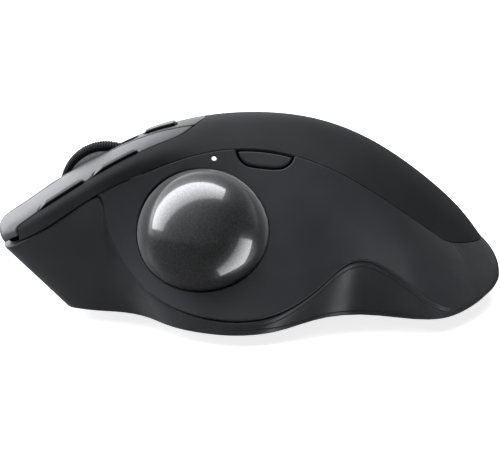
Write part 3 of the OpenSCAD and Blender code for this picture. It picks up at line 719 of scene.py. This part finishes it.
def deck_outline(widen=0.0):
    nose = -0.6
    left = DECK_LEFT + [0, -widen]
    right = DECK_RIGHT + [0, widen]
    start = [[nose, NOSE_COLUMN - 3], [1.83, NOSE_COLUMN - 3], [1.83, 1.2]]
    end = [[1.83, 7.2], [1.83, 10], [nose, 10]]
    return rounded(np.concatenate([start, left, right, end]), 2)


DECK = deck_outline()
DECK_LINE = dense(DECK, 0.12)
DECK_3D = top_at(DECK_LINE[:, 0], DECK_LINE[:, 1])
SEAM_3D = seam_at(np.linspace(0, 34, 260))
LIP_3D = top_at(0, np.linspace(0, 8, 80))
NOSE_LEFT_3D = top_at(np.linspace(0, 1.9, 24), NOSE_COLUMN)
NOSE_RIGHT_3D = top_at(np.linspace(0, 1.9, 24), 8 - NOSE_COLUMN)
RIM_3D = band_at(np.linspace(0, BAND_END, 260), 1.0)
PANEL_SPLIT_3D = band_at(PANEL_END, np.linspace(0, 1, 17))
SIDE_END_3D = band_at(BAND_END, np.linspace(0, 1, 17))
BARS = {"forward_button": (2.76, 4.24), "back_button": (4.5, 5.66)}
MOON_ROUND = rounded(MOON, 2)
MOON_LINE = dense(MOON_ROUND, 0.5)


def deck_field(q, at):
    """Distance into the front deck, negative outside it."""
    return line_distance(at, DECK_3D) * np.where(inside_outline(q, DECK), 1, -1)


def bar_outline(first, last):
    """A side button and the pocket around it, from below the deck's left edge to above it."""
    u = np.linspace(first, last, 5)
    edge = np.interp(u, DECK_LEFT[:, 0], DECK_LEFT[:, 1]) + 0.31
    upper = zip(u[1:-1], edge[1:-1])
    return rounded([[first, 1.3], [first, edge[0]], *upper, [last, edge[-1]], [last, 1.3]], 1)


def outline_field(outline):
    line = dense(outline, 0.05)
    line_3d = top_at(line[:, 0], line[:, 1])
    return lambda q, at: line_distance(at, line_3d) * np.where(inside_outline(q, outline), 1, -1)


def nose_field(q, at):
    """Distance in from the nose's lower edges."""
    front = q[:, 0] < 1.95
    side = np.minimum(line_distance(at, NOSE_LEFT_3D), line_distance(at, NOSE_RIGHT_3D))
    outside = front & ((q[:, 1] < NOSE_COLUMN) | (q[:, 1] > 8 - NOSE_COLUMN))
    side = np.where(outside, -side, np.where(front, side, 1e3))
    return np.minimum(line_distance(at, LIP_3D), side)


def left_key_field(q, at):
    d = np.minimum(np.minimum(deck_field(q, at), nose_field(q, at)), SPINE[0] - KEY_GAP / 2 - at[:, 0])
    for first, last in BARS.values():
        d = np.minimum(d, -outline_field(bar_outline(first, last))(q, at) - 0.1)
    return d


def right_key_field(q, at):
    return np.minimum(np.minimum(deck_field(q, at), nose_field(q, at)), at[:, 0] - SPINE[1] - KEY_GAP / 2)


def box_field(x0, x1, y0, y1, corner):
    """Distance into a rounded rectangle, from the first two coordinates."""
    cx, cy, hx, hy = (x0 + x1) / 2, (y0 + y1) / 2, (x1 - x0) / 2, (y1 - y0) / 2

    def field(at):
        dx = np.abs(at[:, 0] - cx) - (hx - corner)
        dy = np.abs(at[:, 1] - cy) - (hy - corner)
        return corner - np.hypot(np.maximum(dx, 0), np.maximum(dy, 0)) - np.minimum(np.maximum(dx, dy), 0)
    return field


WHEEL_SLOT = box_field(WHEEL[0] - 4.8, WHEEL[0] + 4.8, 29.7, 51.3, 2.0)
MODE_HOLE = box_field(WHEEL[0] - 3.5, WHEEL[0] + 3.5, 19.3, 27.8, 1.2)
PORT_HOLE = box_field(5.1, 14.9, 8, 12, 1.6)


def spine_field(q, at):
    d = np.minimum(deck_field(q, at), nose_field(q, at))
    d = np.minimum(d, KEY_GAP / 4 + np.minimum(at[:, 0] - SPINE[0], SPINE[1] - at[:, 0]))
    return np.minimum(d, np.minimum(-WHEEL_SLOT(at), -MODE_HOLE(at)))


def palm_field(q, at):
    return np.minimum(line_distance(at, SEAM_3D), -deck_field(q, at))


def bore_distance(at, middle, radius):
    """Distance outside a round bore that runs along the thumb panel's normal."""
    r = at - middle
    along = r @ FACING
    return np.sqrt(np.maximum((r * r).sum(1) - along ** 2, 0)) - radius


def moon_distance(at):
    side = at[:, 1:]
    return line_distance(side, MOON_LINE) * np.where(inside_outline(side, MOON_ROUND), 1, -1)


def panel_field(q, at):
    d = np.minimum(line_distance(at, SEAM_3D) + 0.09, line_distance(at, RIM_3D))
    d = np.minimum(d, line_distance(at, PANEL_SPLIT_3D))
    d = np.minimum(d, bore_distance(at, BALL, OPENING_R))
    return np.minimum(d, np.minimum(-moon_distance(at), bore_distance(at, LED, LED_HOLE_R)))


def side_field(q, at):
    d = np.minimum(line_distance(at, SEAM_3D) + 0.09, line_distance(at, RIM_3D))
    return np.minimum(d, np.minimum(line_distance(at, PANEL_SPLIT_3D), line_distance(at, SIDE_END_3D)))


SKIRT_TOP_3D = skirt_at(np.linspace(0, 44, 331), 0.0)
SKIRT_FOOT_3D = skirt_at(np.linspace(0, 44, 331), 1.0)


def case_field(q, at):
    slot = np.interp(q[:, 0], [0, 1, 16, 19, 36, 37.5, 40.3, 41.3, 44],
                     [0.3, 0.55, 0.55, 0.1, 0.1, 0.9, 0.9, 0.15, 0.3])
    d = np.minimum(line_distance(at, SKIRT_TOP_3D) - slot, line_distance(at, SKIRT_FOOT_3D))
    notch = np.where(at[:, 0] > 30, np.maximum(np.abs(at[:, 1]) - 19, at[:, 0] - 42.2), 1e3)
    port = np.where(at[:, 1] > 40, -PORT_HOLE(at[:, [0, 2]]), 1e3)
    return np.minimum(d, np.minimum(notch, port))


def second_line(points):
    """A fine groove that follows the rim a little below it, along the thumb rest."""
    depth = np.clip(1 - np.abs(points[:, 2] - 1.5) / 0.16, 0, 1)
    reach = np.clip((points[:, 0] - 7) / 1.5, 0, 1) * np.clip((17.5 - points[:, 0]) / 1.5, 0, 1)
    return -0.16 * depth * reach


# ---- Pieces ----

def build_shells():
    top_rows = spaced(0, 7.1, 110)
    deck_columns = spaced(0, 8, 140)
    palm = shell("palm_cover_skin", top_at, spaced(1.86, 13, 150), spaced(0, 8, 100), palm_field,
                 "palm_rubber", "case", gap=0.07, fillet=0.16)
    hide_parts("palm_cover")
    left = shell("left_button_cap", top_at, top_rows, deck_columns[deck_columns < 4.3], left_key_field,
                 "key_plastic", "left_key", gap=0.42, fillet=0.4, thick=KEY_THICK)
    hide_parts("left_button")
    right = shell("right_button_cap", top_at, top_rows, deck_columns[deck_columns > 3.5], right_key_field,
                  "key_plastic", "right_key", gap=0.3, fillet=0.4, thick=KEY_THICK)
    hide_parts("right_button")
    spine = shell("top_spine_trim", top_at, spaced(0, 7.1, 150), spaced(2.9, 5.3, 50), spine_field,
                  "spine_plastic", "case", gap=0.15, fillet=0.35)
    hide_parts("top_spine")
    mode = shell("mode_button_cap", top_at, spaced(5.4, 6.9, 50), spaced(2.8, 5, 50),
                 lambda q, at: MODE_HOLE(at), "gloss_black", "mode_key", gap=0.3, fillet=0.5,
                 lift=lambda p: np.full(len(p), PROUD))
    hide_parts("mode_button")
    for name, (first, last) in BARS.items():
        outline = outline_field(bar_outline(first, last))
        bar = shell(name + "_cap", top_at, spaced(first - 0.1, last + 0.1, 80), spaced(1.7, 2.8, 40),
                    lambda q, at: np.minimum(outline(q, at), deck_field(q, at)), "gloss_black",
                    name.replace("button", "key"), gap=0.1, fillet=0.3, thick=BAR_THICK,
                    lift=lambda p: PROUD * np.clip((p[:, 0] - first) / 0.3, 0.1, 1))
        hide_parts(name)
    panel = shell("thumb_panel_skin", band_at,
                  spaced(0.0, PANEL_END + 0.05, 190, (7.0, 7.7, 0.03), (7.2, 9.2, 0.04)),
                  spaced(0, 1, 90, (0, 0.16, 0.005)), panel_field, "panel_plastic", "case", flip=-1,
                  gap=0.12, fillet=0.3, clear_of_ball=True)
    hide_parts("thumb_panel")
    side = shell("side_panel_skin", band_at, spaced(PANEL_END - 0.05, BAND_END, 170), spaced(0, 1, 30),
                 side_field, "case_plastic", "case", flip=-1, gap=0.12, fillet=0.3)
    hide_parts("side_panel")
    precision = shell("precision_button_cap", band_at, spaced(6, 13, 150), spaced(0, 0.4, 60),
                      lambda q, at: np.minimum(moon_distance(at), line_distance(at, SEAM_3D) - 0.2),
                      "panel_plastic", "precision_key", flip=-1, gap=0.5, fillet=0.4, thick=MOON_THICK)
    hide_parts("precision_button")
    case = shell("lower_case_skin", skirt_at, spaced(0, 44, 420), spaced(0, 1, 34, (0, 0.2, 0.008)),
                 case_field, "case_plastic", "case", flip=-1, gap=0.12, fillet=0.45, lift=second_line,
                 more=(1.34, 1.42, 1.5, 1.58, 1.66), ring=True)
    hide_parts("lower_case")


def revolved(name, profile, middle, turns, slot, body, radius=None):
    """A closed ring or disc turned around an axis along X from points of along and radius. radius,
    when given, changes each point's radius around the turn."""
    profile = np.asarray(profile, float)
    angles = np.arange(turns) * 2 * np.pi / turns
    verts = []
    for angle in angles:
        r = profile[:, 1] if radius is None else radius(profile, angle)
        verts.append(np.column_stack([profile[:, 0], r * np.cos(angle), r * np.sin(angle)]))
    verts = np.concatenate(verts) + middle
    m = len(profile)
    faces = []
    for i in range(turns):
        for j in range(m):
            a, b = i * m, (i + 1) % turns * m
            faces.append([a + j, a + (j + 1) % m, b + (j + 1) % m, b + j])
    piece = object_from(name, verts, faces, slot, 38)
    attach(piece, body)
    return piece


def build_wheel():
    half = WHEEL_W / 2
    edge = WHEEL_R - 0.02
    tyre = [[-half, 10.35], [-half, 11.1], [-half + 0.25, 11.7], [-half + 0.8, edge - 0.1],
            [-half + 1.3, edge], [half - 1.3, edge], [half - 0.8, edge - 0.1], [half - 0.25, 11.7],
            [half, 11.1], [half, 10.35]]

    def ribbed(profile, angle):
        wave = 0.5 + 0.5 * math.cos(angle * RIBS)
        tread = np.clip((profile[:, 1] - 11.2) / 0.5, 0, 1)
        return profile[:, 1] - RIB_DEPTH * tread * (1 - wave ** 0.6)

    piece = revolved("wheel_tyre_ribbed", tyre, WHEEL, 624, "wheel_rubber", "wheel", radius=ribbed)
    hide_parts("wheel_tyre")
    dish = [[half - 0.2, 10.3], [half - 0.1, 10.15], [half - 0.15, 9.9], [half - 0.5, 9.2],
            [half - 0.85, 8.0], [half - 1.15, 6.2], [half - 1.3, 4.8], [half - 1.1, 4.2],
            [half - 0.8, 3.8], [half - 0.75, 1.55]]
    other = [[-x, r] for x, r in reversed(dish)]
    piece = revolved("wheel_rim_dish", dish + other, WHEEL, 160, "rim_metal", "wheel")
    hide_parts("wheel_rim")


def build_ball():
    mesh = bpy.data.meshes.new("trackball_pearl")
    work = bmesh.new()
    bmesh.ops.create_icosphere(work, subdivisions=6, radius=BALL_R * MM)
    bmesh.ops.translate(work, verts=work.verts, vec=Vector(BALL) * MM)
    work.to_mesh(mesh)
    work.free()
    mesh.polygons.foreach_set("use_smooth", [True] * len(mesh.polygons))
    ball = bpy.data.objects.new("trackball_pearl", mesh)
    bpy.context.scene.collection.objects.link(ball)
    mesh.materials.append(MATERIALS["ball_pearl"])
    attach(ball, "ball")
    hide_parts("trackball")


def settle_materials():
    for entry in frame["record"]["subparts"]:
        node = frame["nodes"][entry["node"]]
        node.data.materials.clear()
        node.data.materials.append(MATERIALS[entry["material_slot"]])
        node.data.polygons.foreach_set("use_smooth", [True] * len(node.data.polygons))
        node.data.set_sharp_from_angle(angle=math.radians(35))


settle_materials()
build_shells()
build_wheel()
build_ball()
add_camera()
add_world()
add_floor()
add_fill()
bpy.context.scene.view_settings.view_transform = "Standard"
